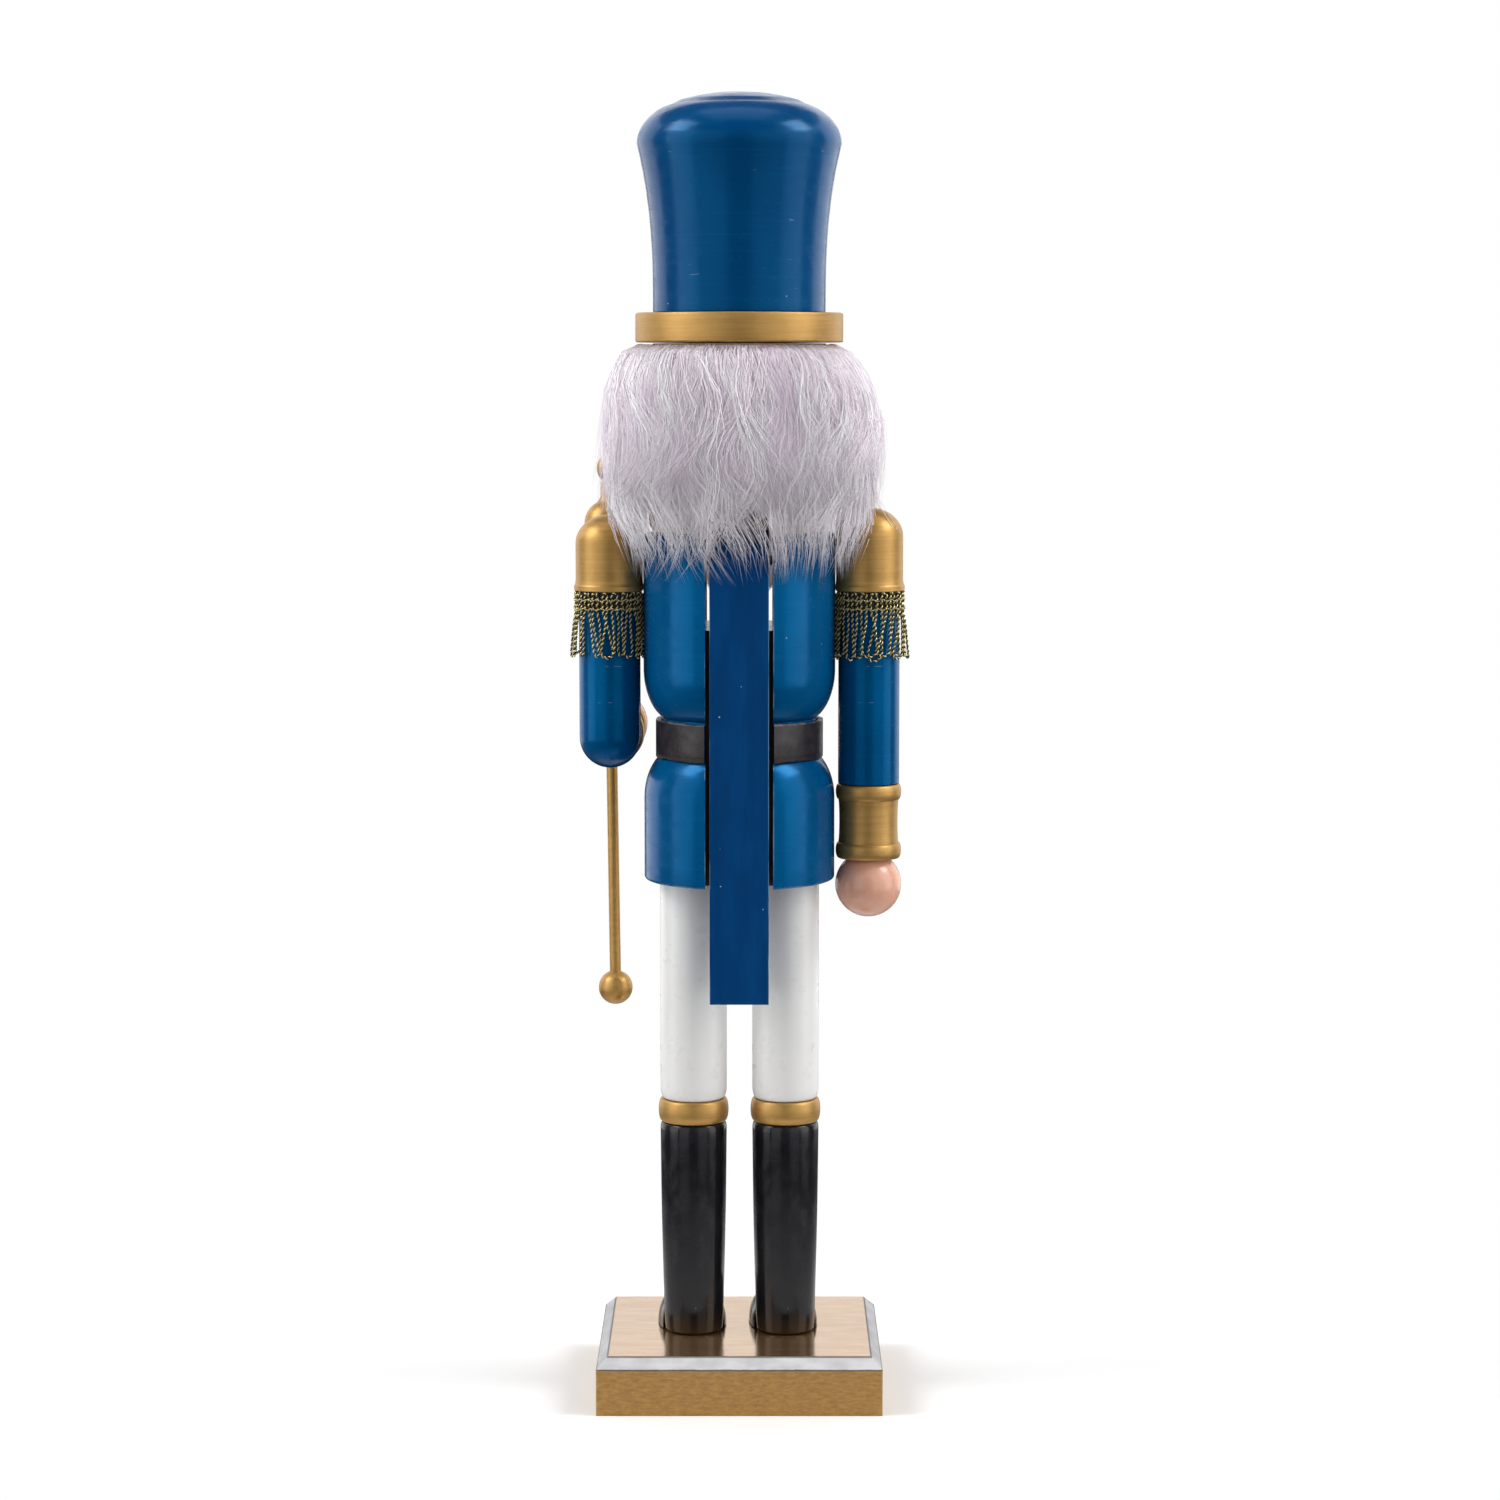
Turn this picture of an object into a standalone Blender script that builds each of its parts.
"""A wooden nutcracker soldier, 381 mm tall, as the separate pieces that it is put together from.

Frame: metres, +Z up. The origin is on the underside of the plinth, below the figure's turning axis.
The soldier faces -Y, so its right arm is at -X and its left, bent arm is at +X. The only moving piece
is the jaw lever, which turns about a steel pin along X at shoulder height.
"""

import math

import bmesh
import bpy
from mathutils import Matrix, Vector

MM = 0.001
GAP = 0.3 * MM
OBJECT_NAME = "nutcracker_soldier"

# Heights of the joints between the pieces, from the underside of the plinth.
TOTAL_HEIGHT = 381.0 * MM
PLINTH_HEIGHT = 16.8 * MM
BOOT_TOP = 79.9 * MM
KNEE_TOP = 86.9 * MM
HEM = 152.5 * MM
BELT_BOTTOM = 188.6 * MM
BELT_TOP = 200.3 * MM
SLOT_BOTTOM = 226.6 * MM
COAT_TOP = 254.2 * MM
MOUTH = 262.4 * MM
BRIM_BOTTOM = 309.2 * MM
BRIM_TOP = 317.7 * MM

# Plinth.
PLINTH_WIDTH = 83.0 * MM
PLINTH_BACK = 34.4 * MM
PLINTH_FRONT = -42.2 * MM
PLINTH_CHAMFER = 3.4 * MM

# Legs and boots.
LEG_X = 13.6 * MM
LEG_RADIUS = 9.8 * MM
BOOT_TOP_RADIUS = 9.8 * MM
BOOT_FOOT_RADIUS = 8.65 * MM
KNEE_RADIUS = 10.35 * MM
KNEE_GROOVE_RADIUS = 9.5 * MM
TENON_RADIUS = 4.0 * MM
LEG_TENON_RADIUS = 6.0 * MM
TENON_TOP = 9.0 * MM
TENON_BOTTOM = 10.0 * MM
TOE_HALF_SIZE = Vector((10.2, 20.0, 11.5)) * MM
TOE_CENTRE_Y = -9.0 * MM
TOE_TURN = math.radians(4.0)
SCREW_HEAD_RADIUS = 3.4 * MM
SCREW_SHANK_RADIUS = 1.5 * MM
SCREW_HEAD_BOTTOM = 0.6 * MM
SCREW_TOP = 44.0 * MM

# Coat and belt.
CHEST_RADIUS = 27.6 * MM
WAIST_RADIUS = 22.3 * MM
SKIRT_TOP_RADIUS = 23.7 * MM
SKIRT_RADIUS = 27.9 * MM
BELT_RADIUS = 24.5 * MM
BELT_THICKNESS = 1.5 * MM
SLOT_WIDTH = 19.5 * MM
GROOVE_FLOOR = 17.0 * MM

# Jaw lever. The outline's points are (forward-to-back, height) in the figure's frame.
PIVOT_HEIGHT = 246.0 * MM
PIN_RADIUS = 1.5 * MM
PIN_START_X = -22.0 * MM
PIN_END_X = 18.5 * MM
LEVER_WIDTH = 17.0 * MM
LEVER_BACK = 29.0 * MM
LEVER_THICKNESS = 11.0 * MM
LEVER_UNDERSIDE = 237.0 * MM
LEVER_END = 119.6 * MM
JAW_TOP = 262.0 * MM
JAW_TOP_END = 1.0 * MM
JAW_RADIUS = 27.0 * MM

# Head and hat.
HEAD_RADIUS = 27.0 * MM
HEAD_END_RADIUS = 25.8 * MM
BRIM_RADIUS = 30.15 * MM
CROWN_RADIUS = 29.6 * MM
CROWN_WIDEST = 366.0 * MM
CROWN_FOOT_RADIUS = 25.0 * MM
DOWEL_RADIUS = 2.5 * MM

# Hair and beard, as plain bodies of the space that the fur takes.
HAIR_RADIUS = 40.0 * MM
HAIR_BOTTOM = 246.0 * MM
FACE_HALF_ANGLE = math.radians(60.0)
BEARD_FRONT = -32.0 * MM
BEARD_BOTTOM = 242.0 * MM
BEARD_TOP = 257.5 * MM

# Arms.
ARM_X = 37.9 * MM
ARM_RADIUS = 8.95 * MM
ARM_TOP = 237.2 * MM
ARM_TENON = 7.7 * MM
WRIST_TENON = 6.0 * MM
EPAULETTE_RADIUS = 9.9 * MM
EPAULETTE_FLARE = 10.4 * MM
EPAULETTE_TOP = {"left": 259.4 * MM, "right": 261.4 * MM}
FRINGE_BOTTOM = 217.3 * MM
CUFF_LENGTH = 21.9 * MM
CUFF_BEAD_RADIUS = 9.62 * MM
CUFF_WAIST_RADIUS = 8.8 * MM
WRIST = 180.5 * MM
HAND_RADIUS = 9.7 * MM
HAND_SINK = 7.8 * MM
HAND_TENON = 4.5 * MM
HAND_TENON_RADIUS = 3.0 * MM
ELBOW_HEIGHT = 194.0 * MM
ELBOW_RISE = 0.7 * MM
ELBOW_TENON_Y = -4.0 * MM
FOREARM_LENGTH = 15.3 * MM

# Staff, held in the left hand and leaning a little outwards.
STAFF_X = 39.3 * MM
STAFF_LEAN = 0.0131
STAFF_RADIUS = 1.7 * MM
STAFF_FOOT = 112.3 * MM
STAFF_FOOT_RADIUS = 5.2 * MM
STAFF_HEAD = 254.9 * MM
STAFF_HEAD_RADIUS = 7.1 * MM
STAFF_KNOB = 271.6 * MM
KNOB_PEG_RADIUS = 1.0 * MM

HAND_Y = -(FOREARM_LENGTH + GAP + CUFF_LENGTH + HAND_SINK)

# Dowels, and the trim on the front.
SHOULDER_HEIGHT = 226.0 * MM
ARM_DOWEL_START = 20.5 * MM
ARM_DOWEL_END = 33.5 * MM
HAT_DOWEL_DEPTH = 10.0 * MM
NECK_DOWEL_X = 17.0 * MM
NECK_DOWEL_Y = 8.0 * MM
NECK_DOWEL_RADIUS = 2.0 * MM
NECK_DOWEL_DEPTH = 8.0 * MM
BUTTON_X = 8.0 * MM
BUTTON_RADIUS = 2.3 * MM
BUTTON_HEIGHTS = {"upper": 219.0 * MM, "lower": 210.0 * MM}
BUCKLE_HALF_WIDTH = 7.5 * MM
BUCKLE_RAIL = 2.5 * MM
BADGE_RADIUS = 5.0 * MM
BADGE_HEIGHT = 22.0 * MM
NOSE_HEIGHT = 281.0 * MM
NOSE_HALF_SIZE = Vector((4.0, 6.0, 7.0)) * MM
MOUSTACHE_HEIGHT = 271.5 * MM

SIDES = (("left", 1), ("right", -1))
BIG_STEPS = 40
MEDIUM_STEPS = 20
SMALL_STEPS = 12
MERGE_DISTANCE = 0.00001
SMOOTH_ANGLE = math.radians(35.0)
REACH = 40.0 * MM

BLUE = (0.0, 0.085, 0.23)
GOLD = (0.42, 0.24, 0.05)
FLESH = (0.62, 0.32, 0.22)
FUR = (0.72, 0.66, 0.72)
BARE_WOOD = (0.55, 0.38, 0.2)
STEEL = (0.5, 0.5, 0.5)
WHITE = (0.8, 0.8, 0.8)
BLACK = (0.012, 0.012, 0.014)
LEATHER = (0.02, 0.015, 0.015)
CORD = (0.3, 0.23, 0.09)


def empty_scene():
    """Removes whatever the scene holds."""
    for item in list(bpy.data.objects):
        bpy.data.objects.remove(item)


def new_collection(name):
    """A collection linked to the scene."""
    made = bpy.data.collections.new(name)
    bpy.context.scene.collection.children.link(made)
    return made


def material(name, colour, roughness, metallic=0.0):
    """A Principled material of one colour."""
    made = bpy.data.materials.new(name)
    made.use_nodes = True
    shader = made.node_tree.nodes["Principled BSDF"]
    shader.inputs["Base Color"].default_value = (*colour, 1.0)
    shader.inputs["Roughness"].default_value = roughness
    shader.inputs["Metallic"].default_value = metallic
    return made


def link(name, data, place):
    """A new object of this data in the collection that it belongs to."""
    made = bpy.data.objects.new(name, data)
    place.objects.link(made)
    return made


# ---------------------------------------------------------------- outlines


def arc(centre, radii, start, end, count):
    """Points along an ellipse about centre, from one angle in degrees to another."""
    points = []
    for step in range(count + 1):
        angle = math.radians(start + (end - start) * step / count)
        points.append((centre[0] + radii[0] * math.cos(angle), centre[1] + radii[1] * math.sin(angle)))
    return points


def bead(radius, bottom, top, bulge, count=4):
    """A turned bead's outer side, from its top to its bottom."""
    middle = (top + bottom) / 2
    return arc((radius - bulge, middle), (bulge, (top - bottom) / 2), 90, -90, count)


def cylinder_outline(radius, bottom, top, rounding=0.0):
    """The outline of a plain turned cylinder with rounded rims."""
    if rounding == 0.0:
        return [(0, top), (radius, top), (radius, bottom), (0, bottom)]
    inner = radius - rounding
    upper = arc((inner, top - rounding), (rounding, rounding), 90, 0, 1)
    lower = arc((inner, bottom + rounding), (rounding, rounding), 0, -90, 1)
    return [(0, top), *upper, *lower, (0, bottom)]


def ball_outline(radius, count, top_angle=90, bottom_angle=-90):
    """A ball about the origin, between two latitudes in degrees."""
    return arc((0, 0), (radius, radius), top_angle, bottom_angle, count)


# ---------------------------------------------------------------- builders


def turned(name, outline, place, steps=MEDIUM_STEPS, ring=False):
    """A lathe-turned piece. The outline goes down its outer side; a ring's outline closes on itself."""
    mesh = bpy.data.meshes.new(name)
    corners = [(radius, 0, height) for radius, height in outline]
    edges = [(i, i + 1) for i in range(len(corners) - 1)]
    if ring:
        edges.append((len(corners) - 1, 0))
    mesh.from_pydata(corners, edges, [])
    made = link(name, mesh, place)
    screw = made.modifiers.new("Lathe", "SCREW")
    screw.axis = "Z"
    screw.angle = 2 * math.pi
    screw.steps = steps
    screw.render_steps = steps
    screw.use_merge_vertices = True
    screw.merge_threshold = MERGE_DISTANCE
    return made


def block(name, low, high, place):
    """A box between two corners."""
    mesh = bpy.data.meshes.new(name)
    shape = bmesh.new()
    bmesh.ops.create_cube(shape, size=1.0)
    low, high = Vector(low), Vector(high)
    for corner in shape.verts:
        corner.co = [low[i] + (high[i] - low[i]) * (corner.co[i] + 0.5) for i in range(3)]
    shape.to_mesh(mesh)
    shape.free()
    return link(name, mesh, place)


def ellipsoid(name, half_size, place, segments=20, rings=12):
    """A ball stretched to half_size about its own origin."""
    mesh = bpy.data.meshes.new(name)
    shape = bmesh.new()
    bmesh.ops.create_uvsphere(shape, u_segments=segments, v_segments=rings, radius=1.0)
    for corner in shape.verts:
        corner.co = [corner.co[i] * half_size[i] for i in range(3)]
    shape.to_mesh(mesh)
    shape.free()
    return link(name, mesh, place)


def plate(name, outline, thickness, place):
    """A flat outline, cut from a board whose thickness lies along X. The outline's points are (y, z)."""
    curve = bpy.data.curves.new(name, "CURVE")
    curve.dimensions = "2D"
    curve.fill_mode = "BOTH"
    curve.extrude = thickness / 2
    spline = curve.splines.new("POLY")
    spline.points.add(len(outline) - 1)
    for point, (across, up) in zip(spline.points, outline, strict=True):
        point.co = (across, up, 0, 1)
    spline.use_cyclic_u = True
    board = link(name + "_curve", curve, place)
    graph = bpy.context.evaluated_depsgraph_get()
    mesh = bpy.data.meshes.new_from_object(board.evaluated_get(graph))
    bpy.data.objects.remove(board)
    shape = bmesh.new()
    shape.from_mesh(mesh)
    bmesh.ops.remove_doubles(shape, verts=shape.verts, dist=MERGE_DISTANCE)
    bmesh.ops.recalc_face_normals(shape, faces=shape.faces)
    shape.to_mesh(mesh)
    shape.free()
    made = link(name, mesh, place)
    made.rotation_euler = (math.pi / 2, 0, math.pi / 2)
    return made


def combine(target, other, operation="DIFFERENCE"):
    """A Boolean of the target with a cutter."""
    boolean = target.modifiers.new(other.name, "BOOLEAN")
    boolean.operation = operation
    boolean.solver = "EXACT"
    boolean.object = other


def bevel(target, width, segments=2, angle=40.0):
    """Rounds every edge sharper than angle, in degrees."""
    rounded = target.modifiers.new("Rounded edges", "BEVEL")
    rounded.width = width
    rounded.segments = segments
    rounded.limit_method = "ANGLE"
    rounded.angle_limit = math.radians(angle)


def settle(target, finish):
    """Applies the modifiers, gives the piece its material and shades its round faces smooth."""
    graph = bpy.context.evaluated_depsgraph_get()
    mesh = bpy.data.meshes.new_from_object(target.evaluated_get(graph))
    target.modifiers.clear()
    target.data = mesh
    mesh.materials.clear()
    mesh.materials.append(finish)
    mesh.shade_smooth()
    mesh.set_sharp_from_angle(angle=SMOOTH_ANGLE)
    mesh.update()


def as_cutter(target):
    """Marks an object that only shapes others."""
    target.hide_render = True
    target.display_type = "WIRE"
    return target


def drill(name, radius, start, end, place, steps=SMALL_STEPS):
    """A cutter for a round hole from start to end."""
    start, end = Vector(start), Vector(end)
    length = (end - start).length
    made = turned(name, cylinder_outline(radius, 0, length), place, steps)
    made.location = start
    made.rotation_mode = "QUATERNION"
    made.rotation_quaternion = (end - start).to_track_quat("Z", "Y")
    return as_cutter(made)


def rod(name, radius, start, end, place, finish, steps=SMALL_STEPS):
    """A dowel or pin from start to end, with eased ends."""
    start, end = Vector(start), Vector(end)
    length = (end - start).length
    made = turned(name, cylinder_outline(radius, 0, length, radius / 4), place, steps)
    made.location = start
    made.rotation_mode = "QUATERNION"
    made.rotation_quaternion = (end - start).to_track_quat("Z", "Y")
    settle(made, finish)
    return made


# ---------------------------------------------------------------- plinth, legs and boots


def screw_outline(spread=0.0):
    """A countersunk screw, pointing up; spread widens it into its hole."""
    head, shank = SCREW_HEAD_RADIUS + spread, SCREW_SHANK_RADIUS + spread
    bottom, top = SCREW_HEAD_BOTTOM - 4 * spread, SCREW_TOP + spread
    cone_bottom, cone_top, point = 1.4 * MM, 3.6 * MM, 2 * MM
    outline = [(0, top), (shank, top - point), (shank, cone_top)]
    return [*outline, (head, cone_bottom), (head, bottom), (0, bottom)]


def make_plinth(parts, cutters, finish):
    """A block with its four upper edges chamfered, drilled from below for the two screws."""
    half = PLINTH_WIDTH / 2
    plinth = block("base_plinth", (-half, PLINTH_FRONT, 0), (half, PLINTH_BACK, PLINTH_HEIGHT), parts)
    shape = bmesh.new()
    shape.from_mesh(plinth.data)
    upper = [edge for edge in shape.edges if all(v.co.z > PLINTH_HEIGHT / 2 for v in edge.verts)]
    bmesh.ops.bevel(shape, geom=upper, offset=PLINTH_CHAMFER, segments=1, affect="EDGES")
    shape.to_mesh(plinth.data)
    shape.free()
    for side, x in (("left", LEG_X), ("right", -LEG_X)):
        hole = as_cutter(turned("plinth_hole_" + side, screw_outline(GAP), cutters, SMALL_STEPS))
        hole.location.x = x
        combine(plinth, hole)
    settle(plinth, finish)


def make_plinth_screw(side, x, parts, finish):
    """The countersunk screw that holds one boot to the plinth."""
    fastener = turned("plinth_screw_" + side, screw_outline(), parts, SMALL_STEPS)
    fastener.location.x = x
    settle(fastener, finish)


def make_boot(side, x, parts, finish):
    """A tapered boot leg with a socket for the tenon above and a hole for the screw below."""
    bottom = PLINTH_HEIGHT + GAP
    socket, socket_floor = TENON_RADIUS + GAP, BOOT_TOP - TENON_BOTTOM - MM
    round_in, round_down, foot_ease = 1.6 * MM, 2 * MM, 0.7 * MM
    hole, hole_top = SCREW_SHANK_RADIUS + 0.4 * MM, SCREW_TOP + 2 * MM
    outline = [(0, socket_floor), (socket, socket_floor), (socket, BOOT_TOP)]
    outline += arc((BOOT_TOP_RADIUS - round_in, BOOT_TOP - round_down), (round_in, round_down), 90, 0, 2)
    outline += [(BOOT_FOOT_RADIUS, bottom + MM), (BOOT_FOOT_RADIUS - foot_ease, bottom)]
    outline += [(hole, bottom), (hole, hole_top), (0, hole_top)]
    boot = turned("boot_" + side, outline, parts)
    boot.location.x = x
    settle(boot, finish)


def make_toe(side, x, parts, cutters, finish):
    """Half an egg in front of the boot, hollowed at the back to fit round it."""
    toe = ellipsoid("boot_toe_" + side, TOE_HALF_SIZE, parts)
    toe.location = (x, 0, PLINTH_HEIGHT + GAP)
    toe.rotation_euler.z = TOE_TURN
    toe.data.transform(Matrix.Translation((0, TOE_CENTRE_Y, 0)))
    floor = PLINTH_HEIGHT + GAP
    left, right = x - REACH, x + REACH
    under = block("toe_under_" + side, (left, -REACH, -REACH), (right, REACH, floor), cutters)
    behind = block("toe_behind_" + side, (left, MM, -REACH), (right, REACH, REACH), cutters)
    low, high = (x, 0, PLINTH_HEIGHT - 5 * MM), (x, 0, PLINTH_HEIGHT + 25 * MM)
    around = drill("toe_back_" + side, BOOT_FOOT_RADIUS + 2 * GAP, low, high, cutters, MEDIUM_STEPS)
    combine(toe, as_cutter(under))
    combine(toe, as_cutter(behind))
    combine(toe, around)
    settle(toe, finish)


def make_knee_band(side, x, parts, finish):
    """A turned ring between the boot and the breeches, threaded on the leg's tenon."""
    low, high = BOOT_TOP + GAP, KNEE_TOP
    hole = TENON_RADIUS + GAP
    bulge = KNEE_RADIUS - KNEE_GROOVE_RADIUS
    outline = [(hole, high), *bead(KNEE_RADIUS, low, high, bulge), (hole, low)]
    band = turned("knee_band_" + side, outline, parts, ring=True)
    band.location.x = x
    settle(band, finish)


def make_leg(side, x, parts, finish):
    """A breeches leg with a tenon at each end."""
    bottom, top = KNEE_TOP + GAP, HEM - GAP
    round_in, round_up = 0.6 * MM, 2 * MM
    tenon_top, tenon_bottom = HEM + TENON_TOP, BOOT_TOP - TENON_BOTTOM
    outline = [(0, tenon_top), (LEG_TENON_RADIUS, tenon_top), (LEG_TENON_RADIUS, top), (LEG_RADIUS, top)]
    outline += arc((LEG_RADIUS - round_in, bottom + round_up), (round_in, round_up), 0, -90, 2)
    outline += [(TENON_RADIUS, bottom), (TENON_RADIUS, tenon_bottom), (0, tenon_bottom)]
    leg = turned("leg_" + side, outline, parts)
    leg.location.x = x
    settle(leg, finish)


# ---------------------------------------------------------------- coat, belt and lever


def coat_outline():
    """The turned body: chest, waist under the belt, and skirt."""
    rounding, hem_rounding, step = 1.5 * MM, 1 * MM, 0.2 * MM
    chest_bottom, chest_in, chest_down = BELT_TOP + 14.2 * MM, 9 * MM, 15.5 * MM
    hip_bottom, hip_in, hip_up = BELT_BOTTOM - 12 * MM, 10.5 * MM, 15 * MM
    under_belt = WAIST_RADIUS + 2 * step
    outline = [(0, COAT_TOP)]
    outline += arc((CHEST_RADIUS - rounding, COAT_TOP - rounding), (rounding, rounding), 90, 0, 2)
    outline += arc((CHEST_RADIUS - chest_in, chest_bottom), (chest_in, chest_down), 0, -66, 5)
    outline += [(WAIST_RADIUS, BELT_TOP), (under_belt, BELT_TOP - step)]
    outline += [(under_belt, BELT_BOTTOM + step), (SKIRT_TOP_RADIUS - GAP, BELT_BOTTOM - GAP)]
    outline += arc((SKIRT_RADIUS - hip_in, hip_bottom), (hip_in, hip_up), 52, 0, 5)
    outline += arc((SKIRT_RADIUS - hem_rounding, HEM + hem_rounding), (hem_rounding, hem_rounding), 0, -90, 2)
    outline += [(0, HEM)]
    return outline


def make_coat(parts, cutters, finish):
    """The body, slotted right through for the jaw and grooved down its back for the lever's tail."""
    coat = turned("coat", coat_outline(), parts, BIG_STEPS)
    half, above, below = SLOT_WIDTH / 2, COAT_TOP + REACH, HEM - REACH
    slot = block("jaw_slot", (-half, -REACH, SLOT_BOTTOM), (half, REACH, above), cutters)
    groove = block("tail_groove", (-half, GROOVE_FLOOR, below), (half, REACH, above), cutters)
    combine(coat, as_cutter(slot))
    combine(coat, as_cutter(groove))
    for side, sign in SIDES:
        leg_low, leg_high = (sign * LEG_X, 0, HEM - 5 * MM), (sign * LEG_X, 0, HEM + TENON_TOP + MM)
        combine(coat, drill("leg_socket_" + side, LEG_TENON_RADIUS + GAP, leg_low, leg_high, cutters))
        neck_x = sign * NECK_DOWEL_X
        neck_low = (neck_x, NECK_DOWEL_Y, COAT_TOP - NECK_DOWEL_DEPTH - GAP)
        neck_high = (neck_x, NECK_DOWEL_Y, COAT_TOP + NECK_DOWEL_DEPTH)
        combine(coat, drill("neck_hole_" + side, NECK_DOWEL_RADIUS + GAP, neck_low, neck_high, cutters))
        arm_low = (sign * (ARM_DOWEL_START - MM / 2), 0, SHOULDER_HEIGHT)
        arm_high = (sign * REACH, 0, SHOULDER_HEIGHT)
        combine(coat, drill("shoulder_hole_" + side, DOWEL_RADIUS + GAP, arm_low, arm_high, cutters))
    pin_start, pin_end = (-REACH, 0, PIVOT_HEIGHT), (PIN_END_X + MM / 2, 0, PIVOT_HEIGHT)
    combine(coat, drill("pin_hole", PIN_RADIUS + GAP, pin_start, pin_end, cutters))
    settle(coat, finish)


def make_belt(parts, cutters, finish):
    """A strap round the waist, stopping at each side of the groove."""
    inner, low, high = BELT_RADIUS - BELT_THICKNESS, BELT_BOTTOM, BELT_TOP - 2 * GAP
    outline = [(inner, high), (BELT_RADIUS, high), (BELT_RADIUS, low), (inner, low)]
    belt = turned("belt", outline, parts, BIG_STEPS, ring=True)
    half = SLOT_WIDTH / 2 + GAP
    gap = block("belt_gap", (-half, 0, low - MM), (half, REACH, high + MM), cutters)
    combine(belt, as_cutter(gap))
    settle(belt, finish)


def make_buckle(parts, cutters, finish):
    """A rectangular frame that follows the belt's curve at the front."""
    inner, outer = BELT_RADIUS + GAP, BELT_RADIUS + 1.5 * MM
    low, high = BELT_BOTTOM - 0.8 * MM, BELT_TOP + 0.2 * MM
    outline = [(inner, high), (outer, high), (outer, low), (inner, low)]
    buckle = turned("belt_buckle", outline, parts, BIG_STEPS, ring=True)
    half, open_half = BUCKLE_HALF_WIDTH, BUCKLE_HALF_WIDTH - BUCKLE_RAIL
    open_low, open_high = low + BUCKLE_RAIL, high - BUCKLE_RAIL
    frame = block("buckle_outside", (-half, -REACH, low - MM), (half, -WAIST_RADIUS / 2, high + MM), cutters)
    window = block("buckle_window", (-open_half, -REACH, open_low), (open_half, 0, open_high), cutters)
    combine(buckle, as_cutter(frame), "INTERSECT")
    combine(buckle, as_cutter(window))
    settle(buckle, finish)


def make_button(name, x, height, parts, finish):
    """A domed coat button, set square to the chest."""
    rim, dome = 0.4 * MM, 1.1 * MM
    outline = [(0, rim + dome), *arc((0, rim), (BUTTON_RADIUS, dome), 75, 0, 2), (BUTTON_RADIUS, 0), (0, 0)]
    button = turned(name, outline, parts, SMALL_STEPS)
    bearing = math.asin(x / CHEST_RADIUS)
    reach = CHEST_RADIUS + GAP
    button.location = (reach * math.sin(bearing), -reach * math.cos(bearing), height)
    button.rotation_euler = (math.pi / 2, 0, bearing)
    settle(button, finish)


def lever_outline():
    """Side view of the lever about its pivot: jaw in front, arm over the pin, tail down the back."""
    front, tail_front = -JAW_RADIUS, LEVER_BACK - LEVER_THICKNESS
    chin, inner_corner, shoulder_in, shoulder_drop, shoulder_rise = 1.5 * MM, 3 * MM, 4.5 * MM, 3 * MM, 6 * MM
    points = [
        (front, JAW_TOP),
        (front, LEVER_UNDERSIDE + chin),
        (front + chin, LEVER_UNDERSIDE),
        (tail_front - inner_corner, LEVER_UNDERSIDE),
        (tail_front, LEVER_UNDERSIDE - inner_corner),
        (tail_front, LEVER_END),
        (LEVER_BACK, LEVER_END),
        (LEVER_BACK, PIVOT_HEIGHT - shoulder_drop),
        (LEVER_BACK - shoulder_in, PIVOT_HEIGHT + shoulder_rise),
        (JAW_TOP_END, JAW_TOP),
    ]
    return [(across, up - PIVOT_HEIGHT) for across, up in points]


def make_lever(parts, cutters, finish):
    """The board that is jaw, arm and tail in one. Its origin is on the pin."""
    lever = plate("jaw_lever", lever_outline(), LEVER_WIDTH, parts)
    lever.location.z = PIVOT_HEIGHT
    low, high = LEVER_UNDERSIDE - MM, JAW_TOP + MM
    outer = JAW_RADIUS + REACH
    outline = [(JAW_RADIUS, high), (outer, high), (outer, low), (JAW_RADIUS, low)]
    lip = as_cutter(turned("lip_round", outline, cutters, BIG_STEPS, ring=True))
    behind = block("lip_round_end", (-outer, 0, low - MM), (outer, outer, high + MM), cutters)
    combine(lip, as_cutter(behind))
    combine(lever, lip)
    pin_start, pin_end = (-LEVER_WIDTH, 0, PIVOT_HEIGHT), (LEVER_WIDTH, 0, PIVOT_HEIGHT)
    combine(lever, drill("lever_hole", PIN_RADIUS + GAP, pin_start, pin_end, cutters))
    bevel(lever, 0.5 * MM, 1)
    settle(lever, finish)


# ---------------------------------------------------------------- head, hair and hat


def make_head(parts, cutters, finish):
    """A barrel-shaped head with a slot below for the mouth and the lever's swing."""
    low, high = COAT_TOP + GAP, BRIM_BOTTOM - GAP
    middle, rise = (low + high) / 2, (high - low) / 2 - MM
    socket, socket_floor = DOWEL_RADIUS + GAP, high - HAT_DOWEL_DEPTH - MM
    swell, swing_rise = HEAD_RADIUS - HEAD_END_RADIUS, 1.6 * MM
    outline = [(0, socket_floor), (socket, socket_floor), (socket, high), (HEAD_END_RADIUS - MM, high)]
    outline += arc((HEAD_END_RADIUS, middle), (swell, rise), 90, -90, 6)
    outline += [(HEAD_END_RADIUS - MM, low), (0, low)]
    head = turned("head", outline, parts, BIG_STEPS)
    half = SLOT_WIDTH / 2
    mouth = block("mouth_slot", (-half, -REACH, low - MM), (half, REACH, MOUTH), cutters)
    swing = block("swing_slot", (-half, 2 * MM, low - MM), (half, REACH, MOUTH + swing_rise), cutters)
    combine(head, as_cutter(mouth))
    combine(head, as_cutter(swing))
    for side, sign in SIDES:
        neck_x = sign * NECK_DOWEL_X
        neck_low = (neck_x, NECK_DOWEL_Y, COAT_TOP - NECK_DOWEL_DEPTH)
        neck_high = (neck_x, NECK_DOWEL_Y, COAT_TOP + NECK_DOWEL_DEPTH + GAP)
        combine(head, drill("head_hole_" + side, NECK_DOWEL_RADIUS + GAP, neck_low, neck_high, cutters))
    settle(head, finish)


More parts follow.
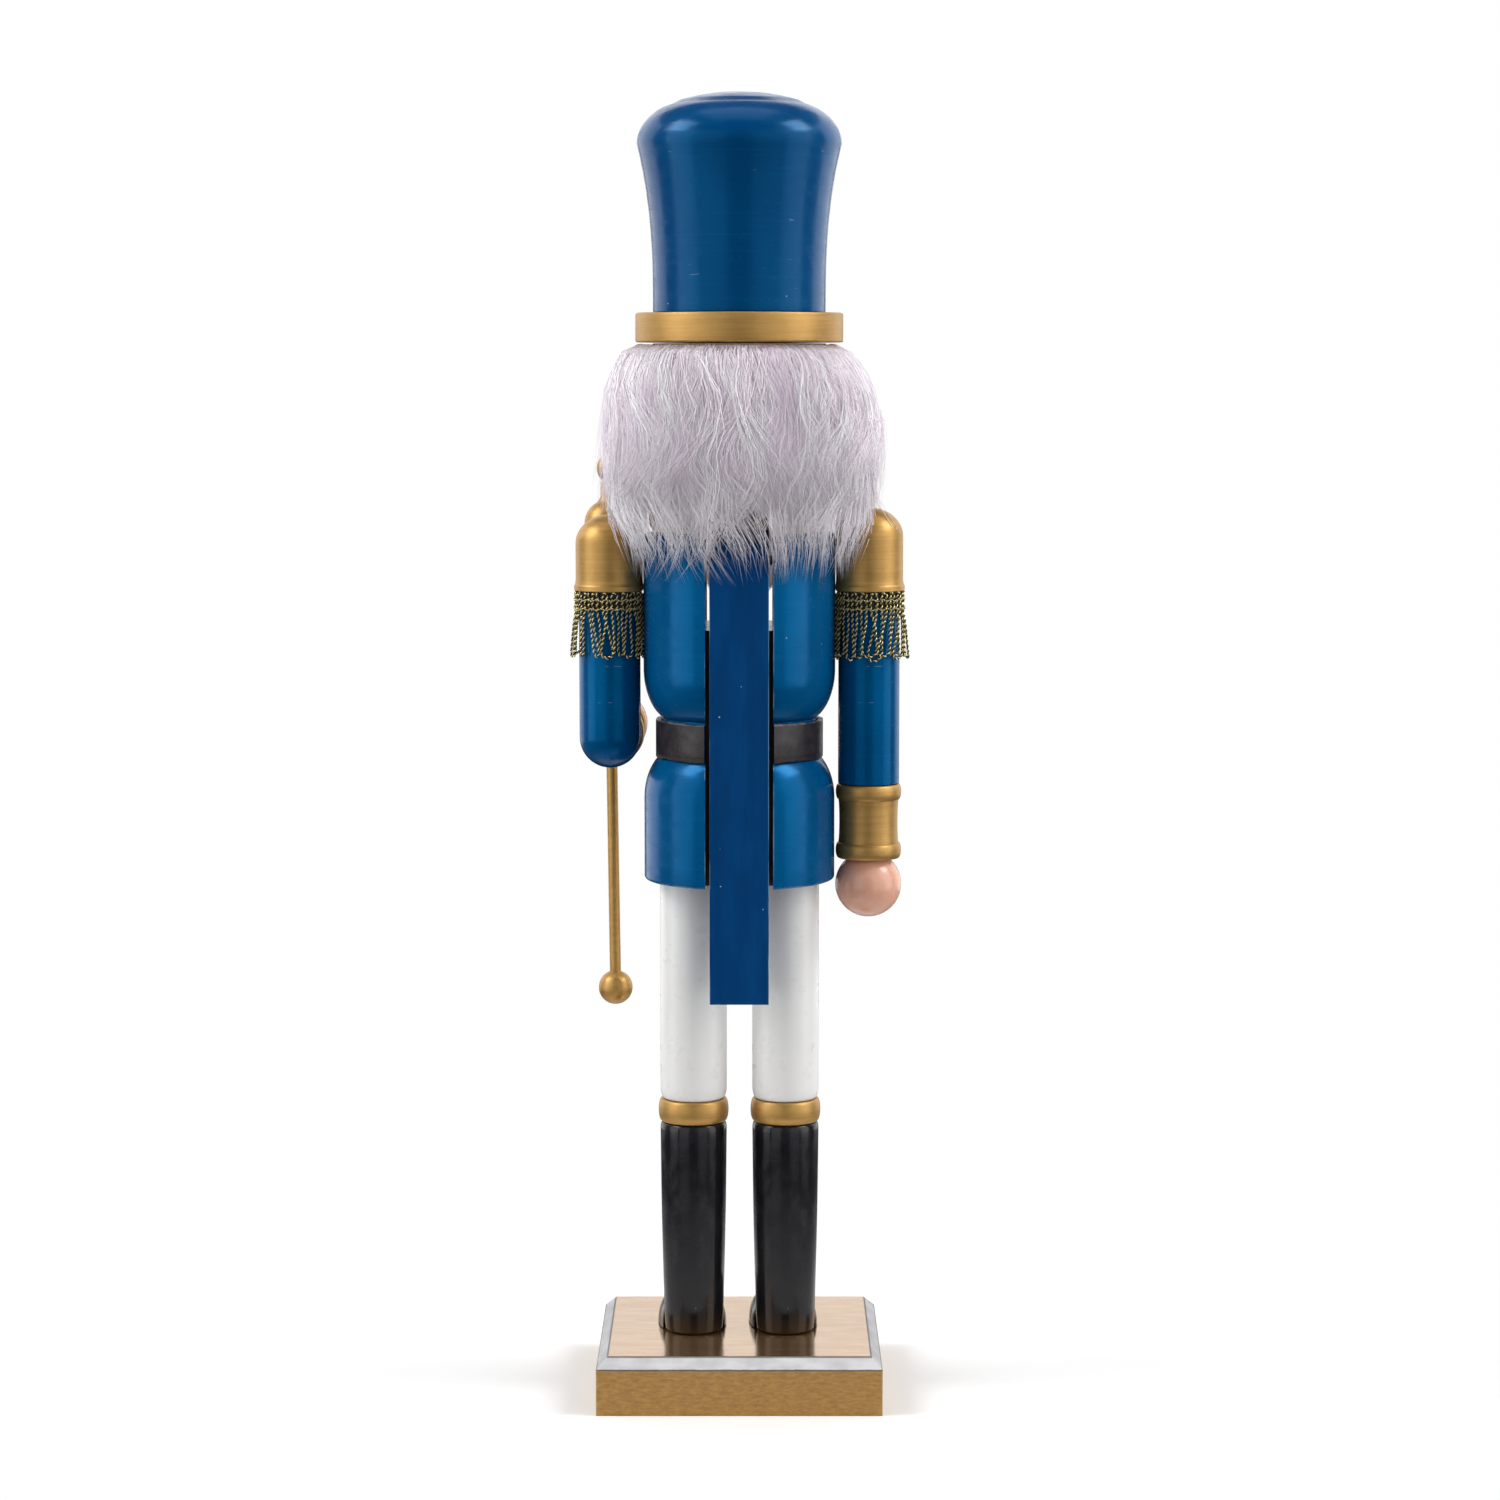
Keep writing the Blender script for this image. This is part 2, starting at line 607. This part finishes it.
def make_nose(parts, cutters, finish):
    """A plain rounded wooden nose, wider below, flat at the back."""
    nose = ellipsoid("nose", NOSE_HALF_SIZE, parts, 16, 10)
    nose.location = (0, -HEAD_RADIUS, NOSE_HEIGHT)
    widest, taper_x, taper_y = 1.1, 0.35, 0.45
    for corner in nose.data.vertices:
        rise = (corner.co.z / NOSE_HALF_SIZE.z + 1) / 2
        corner.co.x *= widest - taper_x * rise
        corner.co.y *= widest - taper_y * rise
    shape_to_head(nose, cutters, "nose_back")
    settle(nose, finish)


def shape_to_head(piece, cutters, name):
    """Hollows the back of a piece to sit on the front of the head."""
    low, high = (0, 0, COAT_TOP), (0, 0, BRIM_BOTTOM)
    combine(piece, drill(name, HEAD_RADIUS + GAP, low, high, cutters, BIG_STEPS))


def make_moustache(parts, cutters, finish):
    """Two swept lobes in one carved piece under the nose."""
    reach, lobe, thick, thinnest = 15 * MM, 3.1 * MM, 2.5 * MM, 0.2 * MM
    outer = HEAD_RADIUS + thick
    low, high = MOUSTACHE_HEIGHT - 8 * MM, MOUSTACHE_HEIGHT + 8 * MM
    outline = [(HEAD_RADIUS + GAP, high), (outer, high), (outer, low), (HEAD_RADIUS + GAP, low)]
    moustache = turned("moustache", outline, parts, BIG_STEPS, ring=True)
    upper, lower = [], []
    count = 10
    for step in range(-count, count + 1):
        share = step / count
        across = reach * share
        lift = lobe * (share**2 - 0.4)
        half = lobe * math.sqrt(1 - share**2) * (0.75 + 0.45 * abs(share)) + thinnest
        upper.append((across, lift + half))
        lower.append((across, lift - half))
    pattern = plate("moustache_pattern", upper + lower[::-1], REACH, cutters)
    pattern.rotation_euler = (math.pi / 2, 0, 0)
    pattern.location = (0, -REACH, MOUSTACHE_HEIGHT)
    combine(moustache, as_cutter(pattern), "INTERSECT")
    settle(moustache, finish)


def hair_outline():
    """The space of the fur in section, from under the brim down to the shoulders."""
    inner, top = HEAD_RADIUS + 2 * GAP, BRIM_BOTTOM - 2 * GAP
    crown_in, crown_bottom, swell_in, swell_bottom = 31 * MM, 284 * MM, 29 * MM, 268 * MM
    outline = [(inner, top), (crown_in, top)]
    outline += arc((crown_in, crown_bottom), (HAIR_RADIUS - crown_in, top - crown_bottom), 75, 0, 5)
    outline += arc((swell_in, swell_bottom), (HAIR_RADIUS - swell_in, swell_bottom - HAIR_BOTTOM), 0, -80, 5)
    outline += [(inner + 0.4 * MM, HAIR_BOTTOM)]
    outline += [(CHEST_RADIUS + 2 * GAP, COAT_TOP + 2 * MM)]
    return outline


def make_hair(parts, cutters, finish):
    """Fur round the back and sides of the head, open at the face and above the lever's tail."""
    hair = turned("hair", hair_outline(), parts, MEDIUM_STEPS, ring=True)
    depth = 2 * REACH
    spread = depth * math.tan(FACE_HALF_ANGLE)
    wedge = [(0, 0), (-depth, -spread), (-depth, spread)]
    face = plate("face_opening", wedge, 3 * REACH, cutters)
    face.rotation_euler = (0, 0, math.pi / 2)
    face.location.z = (HAIR_BOTTOM + BRIM_BOTTOM) / 2
    combine(hair, as_cutter(face))
    half = SLOT_WIDTH / 2 + 1.5 * MM
    notch_top = PIVOT_HEIGHT + 12 * MM
    notch = block("tail_notch", (-half, 0, HAIR_BOTTOM - 5 * MM), (half, 2 * REACH, notch_top), cutters)
    combine(hair, as_cutter(notch))
    for side, sign in SIDES:
        low, high = (sign * ARM_X, 0, HAIR_BOTTOM - 5 * MM), (sign * ARM_X, 0, EPAULETTE_TOP[side] + MM)
        combine(hair, drill("shoulder_room_" + side, EPAULETTE_FLARE + GAP, low, high, cutters, MEDIUM_STEPS))
    settle(hair, finish)


def make_beard(parts, finish):
    """A tuft on the front of the jaw, narrow enough to drop into the slot with it."""
    half = LEVER_WIDTH / 2
    beard = block("beard", (-half, BEARD_FRONT, BEARD_BOTTOM), (half, -JAW_RADIUS - GAP, BEARD_TOP), parts)
    beard.data.transform(Matrix.Translation((0, 0, -PIVOT_HEIGHT)))
    beard.location.z = PIVOT_HEIGHT
    bevel(beard, 1.5 * MM, 2)
    settle(beard, finish)


def make_brim(parts, finish):
    """A turned ring under the crown."""
    low, high, ease = BRIM_BOTTOM, BRIM_TOP, 0.5 * MM
    hole, outer = DOWEL_RADIUS + GAP, BRIM_RADIUS
    outline = [(hole, high), (outer - ease, high), (outer, high - ease)]
    outline += [(outer, low + ease), (outer - ease, low), (hole, low)]
    settle(turned("hat_brim", outline, parts, BIG_STEPS, ring=True), finish)


def crown_outline():
    """The tall crown: a shallow dome, a round shoulder and a hollow flare down to the brim."""
    low, socket = BRIM_TOP + GAP, DOWEL_RADIUS + GAP
    socket_top = low + HAT_DOWEL_DEPTH + MM
    dome = 62 * MM
    shoulder_width, shoulder_height = 15.7 * MM, 12.2 * MM
    outline = arc((0, TOTAL_HEIGHT - dome), (dome, dome), 90, 73.5, 2)
    outline += arc((CROWN_RADIUS - shoulder_width, CROWN_WIDEST), (shoulder_width, shoulder_height), 70, 0, 6)
    flare, fall, hollow = CROWN_RADIUS - CROWN_FOOT_RADIUS, CROWN_WIDEST - low, 2.6
    first, steps = 0.07, 6
    for step in range(steps):
        share = first + (1 - first) * step / steps
        outline.append((CROWN_FOOT_RADIUS + flare * (1 - share) ** hollow, CROWN_WIDEST - share * fall))
    outline += [(CROWN_FOOT_RADIUS, low), (socket, low), (socket, socket_top), (0, socket_top)]
    return outline


def make_badge(parts, finish):
    """A plain turned rosette on the front of the crown."""
    rim, ease, dome_radius, dome = 0.9 * MM, 0.5 * MM, 3 * MM, 1.3 * MM
    outline = [(0, rim + dome), *arc((0, rim), (dome_radius, dome), 75, 0, 2), (BADGE_RADIUS - ease, rim)]
    outline += [(BADGE_RADIUS, ease), (BADGE_RADIUS, 0), (0, 0)]
    badge = turned("hat_badge", outline, parts, MEDIUM_STEPS)
    badge.location = (0, -CROWN_FOOT_RADIUS - 1.3 * MM, BRIM_TOP + BADGE_HEIGHT)
    badge.rotation_euler = (math.pi / 2 + math.radians(2.5), 0, 0)
    settle(badge, finish)


# ---------------------------------------------------------------- arms


def cope_to_body(piece, side, cutters):
    """Trims the inner side of an arm piece to clear the chest."""
    low, high = (0, 0, FRINGE_BOTTOM - MM), (0, 0, EPAULETTE_TOP[side] + MM)
    combine(piece, drill(piece.name + "_cope", CHEST_RADIUS + GAP, low, high, cutters, BIG_STEPS))


def make_epaulette(side, sign, parts, cutters, finish):
    """A domed shoulder cap with a slight flare at its foot and a socket for the arm's tenon."""
    top, low, socket = EPAULETTE_TOP[side], ARM_TOP, TENON_RADIUS + GAP
    dome, flare_top, rim, socket_top = 8.5 * MM, low + 4 * MM, low + 1.2 * MM, low + ARM_TENON + GAP
    outline = arc((0, top - dome), (EPAULETTE_RADIUS, dome), 90, 0, 6)
    outline += [(EPAULETTE_RADIUS, flare_top), (EPAULETTE_FLARE, rim), (EPAULETTE_FLARE, low)]
    outline += [(socket, low), (socket, socket_top), (0, socket_top)]
    cap = turned("epaulette_" + side, outline, parts)
    cap.location.x = sign * ARM_X
    cope_to_body(cap, side, cutters)
    settle(cap, finish)


def make_fringe(side, sign, parts, cutters, finish):
    """The space of the hanging fringe: a skirt round the arm, open towards the body."""
    inner, top, low = ARM_RADIUS + GAP, ARM_TOP - GAP, FRINGE_BOTTOM
    splay = 1.4 * MM
    outline = [(inner, top), (EPAULETTE_FLARE, top), (EPAULETTE_FLARE + splay, low), (inner, low)]
    fringe = turned("fringe_" + side, outline, parts, ring=True)
    fringe.location.x = sign * ARM_X
    open_to = ARM_X - ARM_RADIUS + 2.5 * MM
    low_x, high_x = sorted((0, sign * open_to))
    opening = block("fringe_open_" + side, (low_x, -REACH, low - MM), (high_x, REACH, top + MM), cutters)
    combine(fringe, as_cutter(opening))
    settle(fringe, finish)


def arm_shoulder(top):
    """The tenon and rim at the top of an arm, which both arms share."""
    tenon_top = top + ARM_TENON - GAP
    return [(0, tenon_top), (TENON_RADIUS, tenon_top), (TENON_RADIUS, top - GAP), (ARM_RADIUS, top - GAP)]


def drill_shoulder(arm, side, sign, cutters):
    """The dowel hole in an arm's inner side."""
    start = (sign * CHEST_RADIUS, 0, SHOULDER_HEIGHT)
    end = (sign * (ARM_DOWEL_END + MM / 2), 0, SHOULDER_HEIGHT)
    combine(arm, drill("arm_hole_" + side, DOWEL_RADIUS + GAP, start, end, cutters))


def make_right_arm(parts, cutters, finish):
    """The straight arm, tenoned into the epaulette above and the cuff below."""
    low = WRIST + GAP
    outline = [*arm_shoulder(ARM_TOP), (ARM_RADIUS, low), (TENON_RADIUS, low)]
    outline += [(TENON_RADIUS, low - WRIST_TENON), (0, low - WRIST_TENON)]
    arm = turned("arm_right", outline, parts)
    arm.location.x = -ARM_X
    drill_shoulder(arm, "right", -1, cutters)
    settle(arm, finish)


def make_upper_left_arm(parts, cutters, finish):
    """The bent arm's upper part, rounded off at the elbow, with a hole in front for the forearm."""
    outline = arm_shoulder(ARM_TOP) + arc((0, ELBOW_HEIGHT + ELBOW_RISE), (ARM_RADIUS, ARM_RADIUS), 0, -90, 6)
    arm = turned("upper_arm_left", outline, parts)
    arm.location.x = ARM_X
    drill_shoulder(arm, "left", 1, cutters)
    start, end = (ARM_X, ELBOW_TENON_Y + MM / 2, ELBOW_HEIGHT), (ARM_X, -REACH, ELBOW_HEIGHT)
    combine(arm, drill("elbow_hole", TENON_RADIUS + GAP, start, end, cutters))
    settle(arm, finish)


def pointing_forward(piece, y):
    """Lays a turned piece along the forearm's axis, with its own top towards the elbow."""
    piece.location = (ARM_X, y, ELBOW_HEIGHT)
    piece.rotation_euler.x = -math.pi / 2


def make_forearm(parts, cutters, finish):
    """The short stretch of sleeve between the elbow and the cuff, tenoned at both ends."""
    wrist, tenon, elbow = -FOREARM_LENGTH, TENON_RADIUS, -5 * MM
    tenon_end = wrist - WRIST_TENON
    outline = [(0, elbow), (ARM_RADIUS, elbow), (ARM_RADIUS, wrist)]
    outline += [(tenon, wrist), (tenon, tenon_end), (0, tenon_end)]
    forearm = turned("forearm_left", outline, parts)
    pointing_forward(forearm, 0)
    clear = ARM_RADIUS + GAP
    saddle_outline = [(0, ARM_TOP), (clear, ARM_TOP)]
    saddle_outline += arc((0, ELBOW_HEIGHT + ELBOW_RISE), (clear, clear), 0, -90, 6)
    saddle = as_cutter(turned("elbow_saddle", saddle_outline, cutters))
    saddle.location.x = ARM_X
    combine(forearm, saddle)
    start, end = (ARM_X, ELBOW_TENON_Y, ELBOW_HEIGHT), (ARM_X, wrist + MM, ELBOW_HEIGHT)
    combine(forearm, drill("elbow_tenon", tenon, start, end, cutters), "UNION")
    settle(forearm, finish)


def cuff_outline():
    """A cuff with a bead at each end, socketed for the arm above and the hand below."""
    socket, socket_floor = TENON_RADIUS + GAP, -WRIST_TENON - MM
    length, bead_height, bulge = CUFF_LENGTH, 4.6 * MM, CUFF_BEAD_RADIUS - CUFF_WAIST_RADIUS
    hand_socket, hand_socket_top = HAND_TENON_RADIUS + GAP, HAND_TENON + 0.5 * MM - length
    outline = [(0, socket_floor), (socket, socket_floor), (socket, 0)]
    outline += bead(CUFF_BEAD_RADIUS, -bead_height, 0, bulge)
    outline += bead(CUFF_BEAD_RADIUS, -length, bead_height - length, bulge)
    outline += [(hand_socket, -length), (hand_socket, hand_socket_top), (0, hand_socket_top)]
    return outline


def hand_outline():
    """A ball hand, cut flat where it meets the cuff, with a short tenon."""
    flat = HAND_SINK - GAP
    flat_angle = math.degrees(math.asin(flat / HAND_RADIUS))
    tenon_top = flat + HAND_TENON
    outline = [(0, tenon_top), (HAND_TENON_RADIUS, tenon_top), (HAND_TENON_RADIUS, flat)]
    return outline + ball_outline(HAND_RADIUS, 8, flat_angle, -90)


def make_right_cuff_and_hand(parts, gold, flesh):
    """The straight arm's cuff and hand, below the wrist."""
    cuff = turned("cuff_right", cuff_outline(), parts)
    cuff.location = (-ARM_X, 0, WRIST)
    settle(cuff, gold)
    hand = turned("hand_right", hand_outline(), parts)
    hand.location = (-ARM_X, 0, WRIST - CUFF_LENGTH - HAND_SINK)
    settle(hand, flesh)


def staff_point(height):
    """The staff's axis at a height."""
    return Vector((STAFF_X + STAFF_LEAN * (height - ELBOW_HEIGHT), HAND_Y, height))


def make_left_cuff_and_hand(parts, cutters, gold, flesh):
    """The bent arm's cuff and hand, which is drilled for the staff."""
    cuff = turned("cuff_left", cuff_outline(), parts)
    pointing_forward(cuff, -FOREARM_LENGTH - GAP)
    settle(cuff, gold)
    hand = turned("hand_left", hand_outline(), parts)
    pointing_forward(hand, HAND_Y)
    low, high = staff_point(ELBOW_HEIGHT - REACH), staff_point(ELBOW_HEIGHT + REACH)
    combine(hand, drill("staff_hole", STAFF_RADIUS + GAP, low, high, cutters))
    settle(hand, flesh)


def staff_piece(name, outline, height, parts, finish, steps):
    """A turned piece threaded on the staff, leaning with it."""
    piece = turned(name, outline, parts, steps)
    piece.location = staff_point(height)
    piece.rotation_euler.y = math.atan(STAFF_LEAN)
    settle(piece, finish)


def staff_foot_outline():
    """A ball with a socket in its top."""
    socket, floor = STAFF_RADIUS + GAP, 0.5 * MM
    rim = math.degrees(math.acos(socket / STAFF_FOOT_RADIUS))
    return [(0, floor), (socket, floor), *ball_outline(STAFF_FOOT_RADIUS, 8, rim, -90)]


def staff_head_outline():
    """A ball with a neck above, a socket in its underside and another in the neck's top."""
    radius, socket, floor = STAFF_HEAD_RADIUS, STAFF_RADIUS + GAP, -2.5 * MM
    neck, neck_foot, neck_bottom, neck_top = 2.1 * MM, 3.2 * MM, 8.2 * MM, 12.6 * MM
    peg_hole, peg_floor = KNOB_PEG_RADIUS + GAP, 9 * MM
    neck_angle = math.degrees(math.acos(neck_foot / radius))
    rim = math.degrees(math.acos(socket / radius))
    outline = [(0, peg_floor), (peg_hole, peg_floor), (peg_hole, neck_top)]
    outline += [(neck, neck_top), (neck, neck_bottom)]
    outline += ball_outline(radius, 8, neck_angle, -rim)
    return [*outline, (socket, floor), (0, floor)]


def staff_knob_outline():
    """An egg with a peg below."""
    width, height, under, peg_end = 3.1 * MM, 4.0 * MM, -3.9 * MM, -7.2 * MM
    outline = arc((0, 0), (width, height), 90, -70, 6)
    return [*outline, (KNOB_PEG_RADIUS, under), (KNOB_PEG_RADIUS, peg_end), (0, peg_end)]


def make_staff(parts, finish):
    """A rod with a ball at its foot and a ball, neck and knob at its head."""
    low, high = staff_point(STAFF_FOOT + MM), staff_point(STAFF_HEAD - 3 * MM)
    rod("staff_rod", STAFF_RADIUS, low, high, parts, finish)
    staff_piece("staff_foot", staff_foot_outline(), STAFF_FOOT, parts, finish, 16)
    staff_piece("staff_head", staff_head_outline(), STAFF_HEAD, parts, finish, 16)
    staff_piece("staff_knob", staff_knob_outline(), STAFF_KNOB, parts, finish, SMALL_STEPS)


# ---------------------------------------------------------------- pins and dowels


def make_dowels(parts, wood, steel):
    """The steel pin of the jaw and the hidden dowels that the glued joints close over."""
    rod("pivot_pin", PIN_RADIUS, (PIN_START_X, 0, PIVOT_HEIGHT), (PIN_END_X, 0, PIVOT_HEIGHT), parts, steel)
    hat_low, hat_high = (0, 0, BRIM_BOTTOM - HAT_DOWEL_DEPTH), (0, 0, BRIM_TOP + HAT_DOWEL_DEPTH)
    rod("hat_dowel", DOWEL_RADIUS, hat_low, hat_high, parts, wood)
    for side, sign in SIDES:
        neck_x = sign * NECK_DOWEL_X
        low = (neck_x, NECK_DOWEL_Y, COAT_TOP - NECK_DOWEL_DEPTH + GAP)
        high = (neck_x, NECK_DOWEL_Y, COAT_TOP + NECK_DOWEL_DEPTH - GAP)
        rod("neck_dowel_" + side, NECK_DOWEL_RADIUS, low, high, parts, wood)
        start, end = (sign * ARM_DOWEL_START, 0, SHOULDER_HEIGHT), (sign * ARM_DOWEL_END, 0, SHOULDER_HEIGHT)
        rod("arm_dowel_" + side, DOWEL_RADIUS, start, end, parts, wood)


def build():
    """Makes every piece."""
    empty_scene()
    parts, cutters = new_collection(OBJECT_NAME), new_collection("cutters")
    blue = material("blue_lacquer", BLUE, 0.12)
    matt_blue = material("blue_paint", BLUE, 0.45)
    gold = material("gold_paint", GOLD, 0.35, 0.8)
    white = material("white_paint", WHITE, 0.35)
    black = material("black_lacquer", BLACK, 0.15)
    leather = material("belt_leatherette", LEATHER, 0.4)
    flesh = material("flesh_paint", FLESH, 0.3)
    fur = material("faux_fur", FUR, 0.9)
    cord = material("gold_cord", CORD, 0.6, 0.5)
    wood = material("bare_wood", BARE_WOOD, 0.7)
    steel = material("steel", STEEL, 0.3, 1.0)

    make_plinth(parts, cutters, gold)
    for side, sign in SIDES:
        x = sign * LEG_X
        make_plinth_screw(side, x, parts, steel)
        make_boot(side, x, parts, black)
        make_toe(side, x, parts, cutters, black)
        make_knee_band(side, x, parts, gold)
        make_leg(side, x, parts, white)
        make_epaulette(side, sign, parts, cutters, gold)
        make_fringe(side, sign, parts, cutters, cord)
    make_coat(parts, cutters, blue)
    make_belt(parts, cutters, leather)
    make_buckle(parts, cutters, gold)
    for row, height in BUTTON_HEIGHTS.items():
        for side, sign in SIDES:
            make_button("button_" + row + "_" + side, sign * BUTTON_X, height, parts, gold)
    make_lever(parts, cutters, matt_blue)
    make_head(parts, cutters, flesh)
    make_nose(parts, cutters, flesh)
    make_moustache(parts, cutters, white)
    make_hair(parts, cutters, fur)
    make_beard(parts, fur)
    make_brim(parts, gold)
    settle(turned("hat_crown", crown_outline(), parts, BIG_STEPS), blue)
    make_badge(parts, gold)
    make_right_arm(parts, cutters, blue)
    make_upper_left_arm(parts, cutters, blue)
    make_forearm(parts, cutters, blue)
    make_right_cuff_and_hand(parts, gold, flesh)
    make_left_cuff_and_hand(parts, cutters, gold, flesh)
    make_staff(parts, gold)
    make_dowels(parts, wood, steel)


build()
